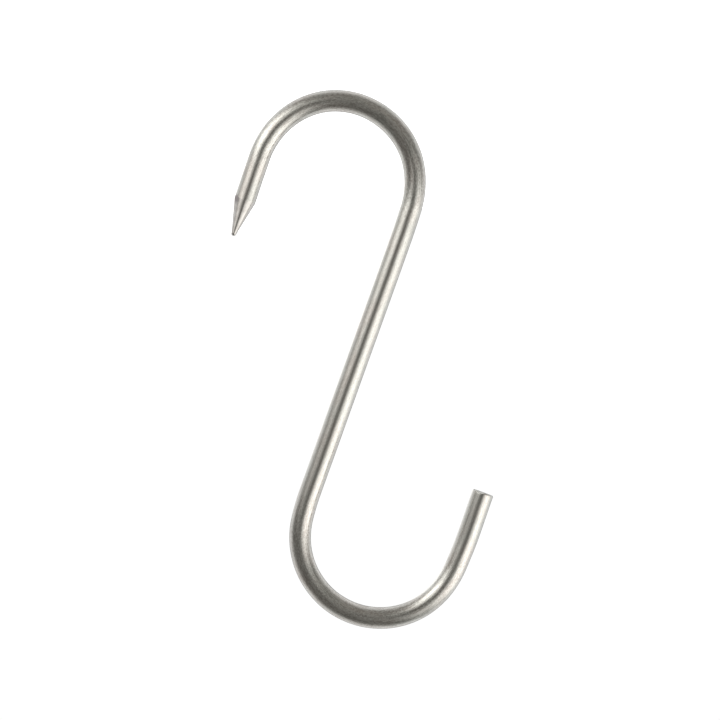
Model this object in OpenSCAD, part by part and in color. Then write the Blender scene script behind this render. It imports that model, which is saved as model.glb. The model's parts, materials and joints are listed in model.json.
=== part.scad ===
// S-shaped meat hook, bent from one round stainless bar. One end is ground to a blunted
// point, and the other is sawn off square and deburred.
//
// It hangs as it does in use: the plain bend is over the rail, and the pointed bend is
// below it and holds the meat. The origin is where the rail bears on the inside of the
// upper bend. +Z is up along the line of the load, the bar bends in the XZ plane, and the
// front faces -Y.

/* [Bar] */
// Diameter of the bar
bar_d = 8; // [4:0.5:10]

/* [Hook] */
// Overall height along the line of the load
hook_h = 200; // [150:1:260]
// Clear width inside each bend
bend_gap = 51.5; // [36:0.5:56]
// Turn of the upper bend, which goes over the rail, in degrees
rail_sweep = 179.2; // [160:0.1:184]
// Turn of the lower bend, which carries the load, in degrees
load_sweep = 181.1; // [160:0.1:184]

/* [Ends] */
// Length of the straight leg from the upper bend to the square end
blunt_leg = 28.8; // [10:0.1:34]
// Width of the deburred edge round the square end
deburr = 0.4; // [0.1:0.1:0.8]
// Length of the straight leg from the lower bend to the shoulder of the point
point_leg = 17; // [5:0.1:22]
// Included angle of the ground point, in degrees
point_angle = 27; // [20:1:40]
// Radius of the blunted tip
tip_r = 0.85; // [0.4:0.05:1.2]

/* [Hidden] */
$fn = 96;

bar_r = bar_d / 2;
bend_r = bend_gap / 2 + bar_r;

// The two bend centres lie on the line of the load
centre_gap = hook_h - bar_d - 2 * bend_r;
hook_middle = [0, -bend_gap / 2 - centre_gap / 2];

// The shank crosses the line of the load half way down and touches both bends
shank_lean = asin(2 * bend_r / centre_gap);
half_shank = sqrt(pow(centre_gap / 2, 2) - pow(bend_r, 2));

// The cone ends where it meets the rounded tip
half_angle = point_angle / 2;
cone_h = (bar_r - tip_r * cos(half_angle)) / tan(half_angle);
tip_at = cone_h - tip_r * sin(half_angle);

// A straight stretch of bar, from the origin along +X
module straight(length) {
    rotate([0, 90, 0])
        cylinder(h = length, r = bar_r);
}

// A bend that starts at the origin along +X and turns left, with its children on its far end
module bend(sweep) {
    translate([0, bend_r, 0]) {
        rotate([0, 0, -90])
            rotate_extrude(angle = sweep)
                translate([bend_r, 0])
                    circle(r = bar_r);
        rotate([0, 0, sweep])
            translate([0, -bend_r, 0])
                children();
    }
}

// Half of the S: half of the shank, then a bend, with its children on its far end
module half_hook(sweep) {
    straight(half_shank);
    translate([half_shank, 0, 0])
        bend(sweep)
            children();
}

// The plain leg, with the edge of its square end taken off
module blunt_end() {
    straight(blunt_leg - deburr);
    translate([blunt_leg - deburr, 0, 0])
        rotate([0, 90, 0])
            cylinder(h = deburr, r1 = bar_r, r2 = bar_r - deburr);
}

// The pointed leg, with its ground cone and rounded tip
module pointed_end() {
    straight(point_leg);
    translate([point_leg, 0, 0])
        rotate([0, 90, 0]) {
            cylinder(h = cone_h, r1 = bar_r, r2 = tip_r * cos(half_angle));
            translate([0, 0, tip_at])
                sphere(r = tip_r);
        }
}

// The whole bar, drawn flat with Y as its height and then stood up in the XZ plane
module hook_bar() {
    color([0.66, 0.65, 0.62])
        rotate([90, 0, 0])
            translate(hook_middle)
                rotate([0, 0, 90 - shank_lean]) {
                    half_hook(rail_sweep)
                        blunt_end();
                    rotate([0, 0, 180])
                        half_hook(load_sweep)
                            pointed_end();
                }
}

hook_bar();
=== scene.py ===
"""Looks of the meat hook: one bent stainless bar, swept as a single mesh along the part's centre line."""

import json
import math

import bpy
import numpy as np
from mathutils import Matrix, Vector, noise


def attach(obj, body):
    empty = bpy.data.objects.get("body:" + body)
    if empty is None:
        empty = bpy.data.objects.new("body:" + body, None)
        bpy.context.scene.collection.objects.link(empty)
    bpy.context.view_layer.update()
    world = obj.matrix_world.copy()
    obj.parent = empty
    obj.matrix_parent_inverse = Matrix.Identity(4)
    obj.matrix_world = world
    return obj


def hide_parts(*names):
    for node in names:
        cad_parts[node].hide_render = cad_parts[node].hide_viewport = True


MM = 0.001
FULL_TURN = 2 * math.pi

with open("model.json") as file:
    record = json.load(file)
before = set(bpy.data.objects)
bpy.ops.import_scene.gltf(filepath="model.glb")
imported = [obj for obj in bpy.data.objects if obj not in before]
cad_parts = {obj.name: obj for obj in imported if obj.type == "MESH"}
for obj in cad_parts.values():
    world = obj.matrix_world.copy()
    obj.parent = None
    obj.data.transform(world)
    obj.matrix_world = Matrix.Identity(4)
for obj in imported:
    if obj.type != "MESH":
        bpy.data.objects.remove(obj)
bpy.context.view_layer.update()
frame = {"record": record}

# ---------------------------------------------------------------- sizes
# The record gives the bar and the seats. The rest repeats part.scad, in metres.
mounts = {mount["name"]: mount for mount in frame["record"]["mounts"]}
BAR_R = mounts["blunt_end"]["dims"]["r_mm"] * MM
SEAT_GAP = -mounts["load_seat"]["pos_m"][2]
BEND_GAP = 51.5 * MM
RAIL_SWEEP = math.radians(179.2)
LOAD_SWEEP = math.radians(181.1)
BLUNT_LEG = 28.8 * MM
DEBURR = 0.4 * MM
POINT_LEG = 17 * MM
HALF_ANGLE = math.radians(27 / 2)
TIP_R = 0.85 * MM

BEND_R = BEND_GAP / 2 + BAR_R
CENTRE_GAP = SEAT_GAP - BEND_GAP
SHANK_LEAN = math.asin(2 * BEND_R / CENTRE_GAP)
SHANK = math.sqrt(CENTRE_GAP**2 - (2 * BEND_R) ** 2)
CONE = (BAR_R - TIP_R * math.cos(HALF_ANGLE)) / math.tan(HALF_ANGLE)
TIP_AT = CONE - TIP_R * math.sin(HALF_ANGLE)
POINT = TIP_AT + TIP_R

# Stretches of the centre line from the square end to the tip: length, and curvature to the left
STRETCHES = [
    (BLUNT_LEG, 0),
    (BEND_R * RAIL_SWEEP, -1 / BEND_R),
    (SHANK, 0),
    (BEND_R * LOAD_SWEEP, 1 / BEND_R),
    (POINT_LEG + POINT, 0),
]
RAIL_BEND = (BLUNT_LEG, BLUNT_LEG + BEND_R * RAIL_SWEEP)
LOAD_BEND = (RAIL_BEND[1] + SHANK, RAIL_BEND[1] + SHANK + BEND_R * LOAD_SWEEP)
SHOULDER = LOAD_BEND[1] + POINT_LEG
BAR_LENGTH = SHOULDER + POINT

# How far the bar is to the left of part.scad's centre line, at places along it. The offsets follow
# the photograph's outline and are rounded, so they may hold some error of the measuring too.
STRAY = [
    (0, 0.1 * MM),
    (18 * MM, 0.4 * MM),
    (36 * MM, -0.15 * MM),
    (60 * MM, 0),
    (118 * MM, 0),
    (128 * MM, 0.4 * MM),
    (150 * MM, 0.3 * MM),
    (230 * MM, 0),
    (248 * MM, 0.4 * MM),
    (270 * MM, 0.1 * MM),
    (298 * MM, -0.25 * MM),
    (326 * MM, 0.2 * MM),
    (345 * MM, 0.05 * MM),
]

# ---------------------------------------------------------------- mesh settings
SIDES = 96
RING_STEP = 0.4 * MM
SEAM = math.pi / 2

# The square end: its sawn face, a flat chamfer, and a rounding on each side of the chamfer. The
# chamfer is wider at one spot, a guess at what makes the photograph's glint.
FACE_RINGS = 22
ROUNDING = (-1, -0.5, 0, 0.5, 1)
ROUND_R = 0.07 * MM
CHAMFER = (0.35, 0.65)
SAWN_RINGS = FACE_RINGS + len(ROUNDING) // 2
CAP_RINGS = FACE_RINGS + len(ROUNDING) + len(CHAMFER)
FILED_AT = math.radians(-108)
SAW_DEPTH = 0.012 * MM
SAW_PITCH = 0.42 * MM
SAW_RADIUS = 30 * MM
SAW_WAVER = 1.7 * MM

# The ground point. The nick and its dark patch stand for a mark of unknown origin. The nick is cut
# into its shoulder; its dark patch is painted shade. SHADED_LEAN is how much of the cone's lean is
# left in its shading, set to match the photograph's reflections.
CONE_STEP = 0.25 * MM
TIP_RINGS = 14
FLATS = 13
FLATNESS = 0.2
NICK_AT = math.radians(-145)
NICK = 1.1 * MM
SHADED_LEAN = 0.05

# The drawn skin's unevenness: its length along the bar and across it, and its height straight and bent
RELIEF = [
    ((9 * MM, 4 * MM), 0.006 * MM, 0.022 * MM),
    ((3 * MM, 1.6 * MM), 0.0015 * MM, 0.005 * MM),
]
RELIEF_SHIFT = 7.3

# Where the surface lies in its textures: four strips side by side, and the sawn face as a disc
BAKE_LAYER = "OFBake"
STRIPS = 4
STRIP_CORNER = (0.003, 0.006)
STRIP_PITCH = 0.235
STRIP_WIDTH = 0.229
STRIP_HEIGHT = 0.988
CAP_CENTRE = (0.97, 0.5)
CAP_R = 0.027

# ---------------------------------------------------------------- studio settings
CAMERA_DISTANCE = 1.2
VIEW_WIDTH = 0.2662
VIEW_CENTRE = Vector((-0.0007, 0, -0.0918))
VIEW_ROLL = math.radians(172.8)
FLOOR_Z = -0.32
FLOOR_REACH = 4.0

# Brightness round the hook, by degrees away from the view's axis: dim in front, white at the sides.
# From 40 to 125 degrees it follows a fit to the photograph's reflections, rounded. The rest is
# given one by one.
SURROUND = [
    (0, (0.19, 0.186, 0.176)),
    (20, (0.19, 0.186, 0.176)),
    (40, (0.20, 0.194, 0.182)),
    (60, (0.21, 0.205, 0.194)),
    (75, (0.25, 0.245, 0.236)),
    (90, (0.45, 0.447, 0.44)),
    (105, (0.68, 0.682, 0.685)),
    (125, (0.85, 0.852, 0.862)),
    (140, (0.82, 0.822, 0.83)),
    (153, (0.38, 0.38, 0.38)),
    (180, (0.20, 0.20, 0.20)),
]
BRIGHT_SIDE = math.radians(55)
BRIGHT_SIDE_GAIN = 0.42
BACKDROP = (1.03, 1.03, 1.03, 1)

# Soft lights: degrees from the view's axis and round it, distance, spread round and away from the
# axis, and brightness. The directions of the two in front are rounded from the same fit. The one
# behind only gives contrast from that side.
SOFTBOXES = {
    "left_softbox": (59, 139.5, 0.9, 0.19, 0.39, 1.8),
    "right_softbox": (60.5, -27.5, 1.5, 0.52, 0.82, 1.5),
    "back_softbox": (160, 150, 1.2, 0.16, 0.3, 1.3),
}
SOFTBOX_EDGE = 2.6
SOFTBOX_COLOUR = (1, 0.985, 0.97)


# ---------------------------------------------------------------- centre line
def centre_line(along):
    """X, Z and heading of the centre line at each distance from the square end."""
    heading = -math.pi / 2 - SHANK_LEAN + RAIL_SWEEP
    bend_start = np.array([-BEND_R * math.sin(heading), -BEND_GAP / 2 + BEND_R * math.cos(heading)])
    place = bend_start - BLUNT_LEG * np.array([math.cos(heading), math.sin(heading)])
    x = np.zeros_like(along)
    z = np.zeros_like(along)
    headings = np.zeros_like(along)
    start = 0
    for length, curve in STRETCHES:
        here = along >= start
        step = along[here] - start
        headings[here] = heading + curve * step
        if curve:
            x[here] = place[0] + (np.sin(headings[here]) - math.sin(heading)) / curve
            z[here] = place[1] - (np.cos(headings[here]) - math.cos(heading)) / curve
            turned = heading + curve * length
            chord = np.array([math.sin(turned) - math.sin(heading), math.cos(heading) - math.cos(turned)])
            place = place + chord / curve
            heading = turned
        else:
            x[here] = place[0] + math.cos(heading) * step
            z[here] = place[1] + math.sin(heading) * step
            place = place + length * np.array([math.cos(heading), math.sin(heading)])
        start += length
    return x, z, headings


def ramp(value, low, high):
    """0 below low, 1 above high, and smooth between them."""
    t = np.clip((value - low) / (high - low), 0, 1)
    return t * t * (3 - 2 * t)


def bend_amount(along):
    """1 inside a bend and 0 on a straight stretch, changing over a bar's width."""
    run = 2 * BAR_R
    total = np.zeros_like(along)
    for first, last in (RAIL_BEND, LOAD_BEND):
        total += ramp(along, first - run, first + run) * (1 - ramp(along, last - run, last + run))
    return total


def stray(along):
    """How far the bar is to the left of part.scad's centre line."""
    total = np.full_like(along, STRAY[0][1])
    for (before, offset_before), (after, offset_after) in zip(STRAY, STRAY[1:]):
        total += (offset_after - offset_before) * ramp(along, before, after)
    return total


def on_hook(along, across, deep):
    """Points of the hook, from their places on the straight bar."""
    x, z, heading = centre_line(along)
    aside = across + stray(along)
    return np.stack([x - np.sin(heading) * aside, deep, z + np.cos(heading) * aside], axis=-1)


# ---------------------------------------------------------------- bar surface
def waves(angles, counts, seed):
    """A smooth closed curve round the bar, about -1 to 1, from a few waves of the given counts."""
    rng = np.random.default_rng(seed)
    curve = np.zeros_like(angles)
    for count in counts:
        curve += np.sin(count * angles + rng.uniform(0, FULL_TURN)) * rng.uniform(0.5, 1)
    return curve / len(counts)


def spot(angles, middle, spread):
    """1 at one angle round the bar, falling smoothly to 0 away from it."""
    return np.exp(-(((np.cos(angles - middle) - 1) / spread) ** 2) / 2)


def grinding_flats(angles):
    """How far the flats of the ground point stand out from a true cone, as a factor of its radius."""
    rng = np.random.default_rng(11)
    edges = np.sort((np.arange(FLATS) + rng.uniform(-0.3, 0.3, FLATS)) / FLATS) * FULL_TURN
    edges = np.append(edges, edges[0] + FULL_TURN)
    turned = (angles - edges[0]) % FULL_TURN + edges[0]
    flat = np.clip(np.searchsorted(edges, turned, side="right") - 1, 0, FLATS - 1)
    middle = (edges[flat] + edges[flat + 1]) / 2
    return 1 + FLATNESS * (1 / np.cos(turned - middle) - 1)


def ideal_point(x):
    """Radius of the ground cone and its rounded tip, x behind the shoulder."""
    cone = BAR_R - x * math.tan(HALF_ANGLE)
    ball = np.sqrt(np.clip(TIP_R**2 - (x - TIP_AT) ** 2, 0, None))
    return np.where(x < CONE, cone, ball)


def square_end_rings(angles):
    """The square end: rings of the sawn face from near its centre, then the uneven deburred edge."""
    wander = DEBURR * (1 + 0.3 * waves(angles, (1, 2, 3, 5, 8), 3))
    filed = spot(angles, FILED_AT, 0.03)
    depth = wander * (1 + 1.9 * filed)
    width = wander * (1 + 0.5 * filed)
    face_r = BAR_R - depth
    rings = []
    for share in np.linspace(0.04, 0.96, FACE_RINGS):
        rings.append((np.zeros_like(angles), face_r * share))
    for share in ROUNDING:
        rings.append((ROUND_R * 0.3 * (1 + share) ** 2, face_r + ROUND_R * share))
    for share in CHAMFER:
        rings.append((width * share, face_r + depth * share))
    for share in ROUNDING:
        rings.append((width + ROUND_R * share, BAR_R - ROUND_R * 0.3 * (1 - share) ** 2))
    return rings


def bar_rings(angles):
    """The round bar from the deburred edge to just before the point's shoulder."""
    first = 3 * DEBURR
    count = int((SHOULDER - first) / RING_STEP)
    shoulder = shoulder_line(angles)
    rings = []
    for along in np.linspace(first, SHOULDER, count, endpoint=False):
        pull = math.exp(-(SHOULDER - along) / (2 * MM))
        rings.append((along + shoulder * pull, np.full_like(angles, BAR_R)))
    return rings


def shoulder_line(angles):
    """How far the grinding's edge wanders along the bar, round the bar, with one nick."""
    return 0.35 * MM * waves(angles, (1, 2, 3, 4, 7), 5) - NICK * spot(angles, NICK_AT, 0.03)


def point_rings(angles):
    """The ground cone from its shoulder to its rounded tip."""
    shoulder = shoulder_line(angles)
    flats = grinding_flats(angles)
    late = BAR_R * (1 - 1 / flats) / math.tan(HALF_ANGLE)
    cone_stations = np.linspace(0, CONE, int(CONE / CONE_STEP), endpoint=False)
    ball_angles = np.linspace(HALF_ANGLE, math.radians(86), TIP_RINGS)
    stations = np.append(cone_stations, TIP_AT + TIP_R * np.sin(ball_angles))
    rings = []
    for x in stations:
        left = 1 - x / POINT
        flattened = 1 + (flats - 1) * (1 - (1 - left) ** 4)
        rings.append((SHOULDER + x + (shoulder + late) * left, ideal_point(x + late * left) * flattened))
    return rings


def relief(along, across, deep):
    """Height of the surface above the ideal bar: drawing and bending leave it faintly uneven."""
    bend = bend_amount(along)
    height = np.zeros_like(along)
    shift = RELIEF_SHIFT
    for (length, width), straight, bent in RELIEF:
        places = zip(along.ravel() / length, across.ravel() / width, deep.ravel() / width + shift)
        uneven = np.array([noise.noise(Vector(place)) for place in places]).reshape(along.shape)
        height += uneven * (straight + bent * bend)
        shift = -shift
    return height * np.clip(np.hypot(across, deep) / BAR_R, 0, 1)


def saw_marks(across, deep):
    """Height of the saw's curved tooth marks on the square end."""
    arc = np.hypot(across + SAW_RADIUS, deep)
    return SAW_DEPTH * np.sin(arc / SAW_PITCH * FULL_TURN + 2 * np.sin(arc / SAW_WAVER))


# ---------------------------------------------------------------- mesh
def hook_mesh():
    """The bent bar as one closed mesh, with the number of its rings and the first ring of its point."""
    angles = SEAM + np.arange(SIDES) * FULL_TURN / SIDES
    rings = square_end_rings(angles) + bar_rings(angles)
    point_start = len(rings)
    rings += point_rings(angles)
    along = np.array([np.broadcast_to(ring[0], angles.shape) for ring in rings])
    radius = np.array([np.broadcast_to(ring[1], angles.shape) for ring in rings])
    across = radius * np.cos(angles)
    deep = radius * np.sin(angles)

    ring_number = np.arange(len(rings))[:, None]
    lift = 1 + relief(along, across, deep) * (ring_number >= CAP_RINGS) / radius
    sunk = along + np.where(ring_number < FACE_RINGS, saw_marks(across, deep) + SAW_DEPTH, 0)
    ends = np.array([0.0, BAR_LENGTH])
    vertices = np.vstack([
        on_hook(sunk, across * lift, deep * lift).reshape(-1, 3),
        on_hook(ends, np.zeros(2), np.zeros(2)),
    ])
    faces, sides = closed_tube(len(rings))

    mesh = bpy.data.meshes.new("hook")
    mesh.from_pydata(vertices.tolist(), [], faces)
    straight = np.stack([sunk, across, deep], axis=-1).reshape(-1, 3)
    straight = np.vstack([straight, [[0, 0, 0], [BAR_LENGTH, 0, 0]]])
    store(mesh, "straight_bar", "FLOAT_VECTOR", "vector", straight)
    store(mesh, "bend", "FLOAT", "value", np.append(bend_amount(along).ravel(), [0, 0]))
    lay_out(mesh, straight, sides)
    return mesh, len(rings), point_start


def closed_tube(ring_count):
    """Faces that join the rings and close both ends, and how many sides round the bar each corner is."""
    faces = []
    sides = []
    for ring in range(ring_count - 1):
        low = ring * SIDES
        high = low + SIDES
        for side in range(SIDES):
            after = (side + 1) % SIDES
            faces.append((low + side, high + side, high + after, low + after))
            sides += (side, side, side + 1, side + 1)
    centre = ring_count * SIDES
    tip = centre + 1
    last = centre - SIDES
    for side in range(SIDES):
        after = (side + 1) % SIDES
        faces.append((centre, side, after))
        sides += (side + 0.5, side, side + 1)
        faces.append((tip, last + after, last + side))
        sides += (side + 0.5, side + 1, side)
    return faces, sides


def store(mesh, name, kind, field, values):
    """Keeps one value a vertex in a named attribute."""
    mesh.attributes.new(name, kind, "POINT").data.foreach_set(field, np.ravel(values))


def lay_out(mesh, straight, sides):
    """Lays the bar out flat for textures: its length in strips, and the sawn face beside them."""
    piece = BAR_LENGTH / STRIPS
    centre = len(mesh.vertices) - 2
    uv = np.zeros((len(mesh.loops), 2))
    for polygon in mesh.polygons:
        corners = list(polygon.loop_indices)
        vertices = list(polygon.vertices)
        along, across, deep = straight[vertices].T
        if polygon.index < CAP_RINGS * SIDES or centre in vertices:
            uv[corners, 0] = CAP_CENTRE[0] + across / BAR_R * CAP_R
            uv[corners, 1] = CAP_CENTRE[1] + deep / BAR_R * CAP_R
        else:
            strip = min(int(along.mean() / piece), STRIPS - 1)
            share = np.array([sides[corner] for corner in corners]) / SIDES
            uv[corners, 0] = STRIP_CORNER[0] + strip * STRIP_PITCH + share * STRIP_WIDTH
            uv[corners, 1] = STRIP_CORNER[1] + (along / piece - strip) * STRIP_HEIGHT
    mesh.uv_layers.new(name=BAKE_LAYER).data.foreach_set("uv", uv.ravel())


def shade_point(mesh, first, last):
    """Shades the cone almost as a straight bar. Its shape stays a cone, so these normals aren't its own."""
    normals = np.zeros(len(mesh.vertices) * 3)
    mesh.vertices.foreach_get("normal", normals)
    normals = normals.reshape(-1, 3)
    heading = centre_line(np.array([BAR_LENGTH]))[2][0]
    tipward = np.array([math.cos(heading), 0, math.sin(heading)])
    shaded = np.zeros_like(normals)
    point = slice(first * SIDES, last * SIDES)
    lean = normals[point] @ tipward
    shaded[point] = normals[point] - np.outer((1 - SHADED_LEAN) * lean, tipward)
    mesh.normals_split_custom_set_from_vertices(shaded.tolist())


# ---------------------------------------------------------------- materials
class Nodes:
    """A node tree that is built with short calls."""

    def __init__(self, tree):
        self.tree = tree
        tree.nodes.clear()

    def add(self, kind, inputs=None, **settings):
        """Adds a node, sets its properties, and sets or links its inputs by name or number."""
        node = self.tree.nodes.new("ShaderNode" + kind)
        for name, value in settings.items():
            setattr(node, name, value)
        for name, value in (inputs or {}).items():
            if isinstance(value, bpy.types.NodeSocket):
                self.tree.links.new(value, node.inputs[name])
            else:
                node.inputs[name].default_value = value
        return node

    def math(self, operation, *values):
        """The result of a Math node on numbers or sockets."""
        return self.add("Math", dict(enumerate(values)), operation=operation).outputs[0]

    def vector(self, operation, first, second, output="Vector"):
        """The result of a Vector Math node on vectors or sockets."""
        return self.add("VectorMath", {0: first, 1: second}, operation=operation).outputs[output]

    def between(self, value, low, high, from_low=0.0, from_high=1.0):
        """A value mapped from one range to another, clamped."""
        return self.add("MapRange", {0: value, 1: from_low, 2: from_high, 3: low, 4: high}).outputs[0]

    def stretched_noise(self, place, size, detail=2.0, roughness=0.5):
        """Noise whose features have the given size along and across the straight bar, in metres."""
        scaled = self.vector("MULTIPLY", place, (1 / size[0], 1 / size[1], 1 / size[1]))
        inputs = {"Vector": scaled, "Scale": 1.0, "Detail": detail, "Roughness": roughness}
        return self.add("TexNoise", inputs).outputs["Fac"]

    def mixed(self, share, first, second):
        """Two colours mixed by share."""
        return self.add("Mix", {0: share, 6: first, 7: second}, data_type="RGBA").outputs[2]

    def bump(self, height, distance):
        """A normal that follows a height."""
        return self.add("Bump", {"Height": height, "Strength": 1.0, "Distance": distance}).outputs[0]


def steel(name):
    """A new material, its node builder, and where a point is on the straight bar."""
    material = bpy.data.materials.new(name)
    material.use_nodes = True
    nodes = Nodes(material.node_tree)
    place = nodes.add("Attribute", attribute_name="straight_bar").outputs["Vector"]
    return material, nodes, place


def finish_steel(nodes, colour, roughness, normal, anisotropic, rotation):
    """Ends a steel material with its shader, whose gloss blurs round the bar, or along it if rotated."""
    tangent = nodes.add("Tangent", direction_type="UV_MAP", uv_map=BAKE_LAYER).outputs[0]
    shader = nodes.add("BsdfPrincipled", {
        "Base Color": colour,
        "Metallic": 1.0,
        "Roughness": roughness,
        "Normal": normal,
        "Anisotropic": anisotropic,
        "Anisotropic Rotation": rotation,
        "Tangent": tangent,
    })
    nodes.add("OutputMaterial", {"Surface": shader.outputs[0]})


def drawn_steel():
    """Bright drawn bar: fine draw lines along it, and a coarser, streaky skin where it was bent."""
    material, nodes, place = steel("drawn_steel")
    bend = nodes.add("Attribute", attribute_name="bend").outputs["Fac"]
    lines = nodes.stretched_noise(place, (5 * MM, 0.42 * MM), 2.0, 0.6)
    fine_lines = nodes.stretched_noise(place, (1.8 * MM, 0.2 * MM), 2.0, 0.6)
    skin = nodes.stretched_noise(place, (0.9 * MM, 0.4 * MM), 2.0, 0.6)
    cloud = nodes.stretched_noise(place, (12 * MM, 4 * MM), 3.0, 0.55)

    warmth = nodes.between(cloud, 0.0, 1.0, 0.4, 0.62)
    dull = nodes.mixed(warmth, (0.54, 0.534, 0.498, 1), (0.56, 0.524, 0.484, 1))
    bright = nodes.mixed(warmth, (0.74, 0.736, 0.69, 1), (0.76, 0.737, 0.69, 1))
    streaks = nodes.between(lines, -0.85, 0.85, 0.36, 0.6)
    bend_streaks = nodes.math("MULTIPLY", streaks, nodes.between(bend, 0.3, 1.0))
    speckle = nodes.between(skin, -1.3, 1.3, 0.34, 0.66)
    bend_speckle = nodes.math("MULTIPLY", speckle, nodes.between(bend, 0.25, 1.0))
    tone = nodes.math("ADD", nodes.math("ADD", bend_streaks, bend_speckle), 0.5)
    colour = nodes.mixed(tone, dull, bright)

    scuffed = nodes.math("MULTIPLY", nodes.between(skin, -0.03, 0.1, 0.4, 0.7), bend)
    roughness = nodes.math("ADD", nodes.between(fine_lines, 0.10, 0.2, 0.3, 0.7), scuffed)

    height = nodes.math("MULTIPLY", lines, 0.8)
    height = nodes.math("ADD", height, nodes.math("MULTIPLY", fine_lines, 0.6))
    height = nodes.math("ADD", height, nodes.math("MULTIPLY", skin, nodes.between(bend, 0.3, 3.0)))
    normal = nodes.bump(height, 0.008 * MM)
    finish_steel(nodes, colour, roughness, normal, 0.3, 0.0)
    return material


def ground_steel():
    """Ground point: fine marks run round the cone, and a dark patch of painted shade sits at the nick in its
    shoulder.
    """
    material, nodes, place = steel("ground_steel")
    marks = nodes.stretched_noise(place, (0.14 * MM, 2.5 * MM), 2.0, 0.6)
    cloud = nodes.stretched_noise(place, (2 * MM, 1.2 * MM), 2.0, 0.5)
    cloudy = nodes.between(cloud, 0, 1, 0.35, 0.65)
    clean = nodes.mixed(cloudy, (0.56, 0.535, 0.505, 1), (0.72, 0.70, 0.665, 1))
    # Painted shade: the colour darkens round the nick, and the cloud adds random darker tone.
    nick = (SHOULDER + 0.6 * MM, BAR_R * math.cos(NICK_AT), BAR_R * math.sin(NICK_AT))
    from_nick = nodes.vector("DISTANCE", place, nick, "Value")
    near_nick = nodes.between(from_nick, 0.9, 0.0, 0.8 * MM, 2.4 * MM)
    painted_shade_and_tone = nodes.math("ADD", near_nick, nodes.between(cloud, -0.2, 0.2))
    colour = nodes.mixed(painted_shade_and_tone, clean, (0.30, 0.27, 0.265, 1))
    roughness = nodes.between(marks, 0.14, 0.22, 0.3, 0.7)
    normal = nodes.bump(nodes.math("ADD", marks, nodes.math("MULTIPLY", cloud, 0.6)), 0.004 * MM)
    finish_steel(nodes, colour, roughness, normal, 0.5, 0.25)
    return material


def sawn_steel():
    """Sawn end: duller, with fine saw scratches over the tooth marks."""
    material, nodes, place = steel("sawn_steel")
    from_saw = nodes.vector("ADD", place, (0, SAW_RADIUS, 0))
    flat = nodes.vector("MULTIPLY", from_saw, (0, 1, 1))
    arc = nodes.math("SQRT", nodes.vector("DOT_PRODUCT", flat, flat, "Value"))
    deep = nodes.add("SeparateXYZ", {0: place}).outputs[2]
    on_arc = nodes.add("CombineXYZ", {0: arc, 1: nodes.math("MULTIPLY", deep, 0.04)}).outputs[0]
    scratches = nodes.stretched_noise(on_arc, (0.06 * MM, 0.06 * MM), 3.0, 0.7)
    stain = nodes.stretched_noise(place, (1.5 * MM, 1.5 * MM), 3.0, 0.6)
    colour = nodes.mixed(stain, (0.50, 0.49, 0.47, 1), (0.70, 0.69, 0.67, 1))
    roughness = nodes.between(scratches, 0.28, 0.5, 0.3, 0.7)
    finish_steel(nodes, colour, roughness, nodes.bump(scratches, 0.006 * MM), 0.0, 0.0)
    return material


# ---------------------------------------------------------------- hook
def hook():
    """The hook as one piece, with its drawn, ground and sawn surfaces."""
    mesh, ring_count, point_start = hook_mesh()
    drawn, ground, sawn = range(3)
    for material in (drawn_steel(), ground_steel(), sawn_steel()):
        mesh.materials.append(material)
    surface = np.full(len(mesh.polygons), drawn)
    surface[: SAWN_RINGS * SIDES] = sawn
    surface[point_start * SIDES:] = ground
    surface[(ring_count - 1) * SIDES:: 2] = sawn
    mesh.polygons.foreach_set("material_index", surface)
    mesh.polygons.foreach_set("use_smooth", np.ones(len(mesh.polygons), dtype=bool))
    shade_point(mesh, point_start, ring_count - TIP_RINGS)
    piece = bpy.data.objects.new("hook", mesh)
    bpy.context.scene.collection.objects.link(piece)
    return piece


# ---------------------------------------------------------------- studio
def from_camera(right, up, towards):
    """A direction given as the camera sees it, turned into the row frame."""
    flat = Matrix.Rotation(-VIEW_ROLL, 3, "Y") @ Vector((right, 0, up))
    return flat + Vector((0, -towards, 0))


def camera():
    """The photograph's view: square on, and turned so that the point is at the top."""
    data = bpy.data.cameras.new("camera")
    data.sensor_width = 36
    data.lens = data.sensor_width * CAMERA_DISTANCE / VIEW_WIDTH
    data.clip_start = 0.05
    view = bpy.data.objects.new("camera", data)
    turn = Matrix.Rotation(-VIEW_ROLL, 4, "Y") @ Matrix.Rotation(math.pi / 2, 4, "X")
    view.matrix_world = Matrix.Translation(VIEW_CENTRE + Vector((0, -CAMERA_DISTANCE, 0))) @ turn
    bpy.context.scene.collection.objects.link(view)
    bpy.context.scene.camera = view


def softbox(name, away, around, distance, wide, tall, brightness):
    """A soft light aimed at the hook, brightest in its middle and fading by its spread in metres."""
    round_axis = Vector((math.cos(around), math.sin(around)))
    centre = from_camera(*(round_axis * math.sin(away)), math.cos(away))
    outward = from_camera(*(round_axis * math.cos(away)), -math.sin(away))
    data = bpy.data.lights.new(name, "AREA")
    data.shape = "RECTANGLE"
    data.size = 2 * SOFTBOX_EDGE * wide
    data.size_y = 2 * SOFTBOX_EDGE * tall
    data.energy = brightness * math.pi * data.size * data.size_y
    data.color = SOFTBOX_COLOUR
    data.use_nodes = True
    nodes = Nodes(data.node_tree)
    place = nodes.add("NewGeometry").outputs["Parametric"]
    off_middle = nodes.vector("SUBTRACT", place, (0.5, 0.5, 0))
    spread = nodes.vector("MULTIPLY", off_middle, (2 * SOFTBOX_EDGE, 2 * SOFTBOX_EDGE, 0))
    squared = nodes.vector("DOT_PRODUCT", spread, spread, "Value")
    glow = nodes.math("EXPONENT", nodes.math("MULTIPLY", squared, -0.5))
    emission = nodes.add("Emission", {"Strength": glow})
    nodes.add("OutputLight", {0: emission.outputs[0]})
    light = bpy.data.objects.new(name, data)
    turn = Matrix((outward.cross(centre), outward, centre)).transposed().to_4x4()
    light.matrix_world = Matrix.Translation(VIEW_CENTRE + centre * distance) @ turn
    bpy.context.scene.collection.objects.link(light)


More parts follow.
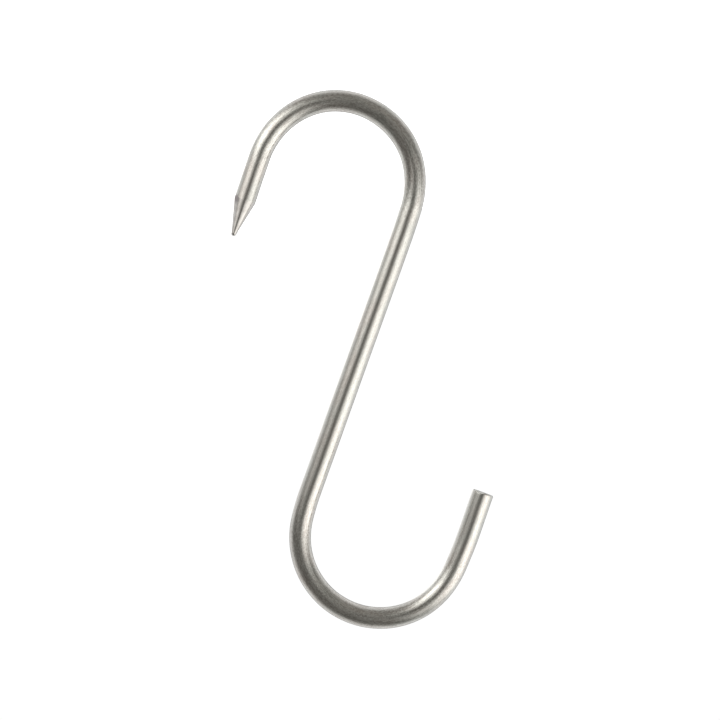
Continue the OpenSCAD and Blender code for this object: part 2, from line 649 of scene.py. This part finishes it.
def surroundings():
    """The room that the steel reflects. The camera itself sees a plain white backdrop."""
    world = bpy.data.worlds.new("studio")
    bpy.context.scene.world = world
    world.use_nodes = True
    nodes = Nodes(world.node_tree)
    direction = nodes.add("TexCoord").outputs["Generated"]
    facing = nodes.vector("DOT_PRODUCT", direction, from_camera(0, 0, 1), "Value")
    away = nodes.math("DIVIDE", nodes.math("ARCCOSINE", facing), math.pi)
    walls = nodes.add("ValToRGB", {0: away})
    stops = walls.color_ramp.elements
    while len(stops) < len(SURROUND):
        stops.new(0.5)
    for stop, (degrees, shade) in zip(stops, SURROUND):
        stop.position = degrees / 180
        stop.color = (*shade, 1)
    brighter = from_camera(math.cos(BRIGHT_SIDE), math.sin(BRIGHT_SIDE), 0) * BRIGHT_SIDE_GAIN
    towards_bright = nodes.vector("DOT_PRODUCT", direction, brighter, "Value")
    extra = nodes.math("MULTIPLY", towards_bright, nodes.between(facing, 0.0, 1.0, 0.0, 0.7))
    gain = nodes.math("ADD", extra, 1.0)
    room = nodes.add("VectorMath", {0: walls.outputs[0], "Scale": gain}, operation="SCALE").outputs[0]
    seen = nodes.add("LightPath").outputs["Is Camera Ray"]
    background = nodes.add("Background", {0: nodes.mixed(seen, room, BACKDROP), 1: 1.0})
    nodes.add("OutputWorld", {0: background.outputs[0]})


def floor():
    """A plain pale floor, well below the hook, lit through like a light table."""
    mesh = bpy.data.meshes.new("floor")
    corners = [(-1, -1), (1, -1), (1, 1), (-1, 1)]
    places = [(x * FLOOR_REACH, y * FLOOR_REACH, FLOOR_Z) for x, y in corners]
    mesh.from_pydata(places, [], [(0, 1, 2, 3)])
    material = bpy.data.materials.new("pale_floor")
    material.use_nodes = True
    nodes = Nodes(material.node_tree)
    shader = nodes.add("BsdfPrincipled", {
        "Base Color": (0.8, 0.8, 0.8, 1),
        "Roughness": 0.9,
        "Emission Color": (1, 1, 1, 1),
        "Emission Strength": 1.0,
    })
    nodes.add("OutputMaterial", {0: shader.outputs[0]})
    mesh.materials.append(material)
    ground = bpy.data.objects.new("floor", mesh)
    ground.visible_glossy = False
    ground.visible_shadow = False
    bpy.context.scene.collection.objects.link(ground)
    return ground


bpy.context.scene.view_settings.view_transform = "Standard"
camera()
surroundings()
for name, (away, around, distance, wide, tall, brightness) in SOFTBOXES.items():
    softbox(name, math.radians(away), math.radians(around), distance, wide, tall, brightness)

bar = hook()
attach(bar, "root")
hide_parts("hook_bar")
floor()
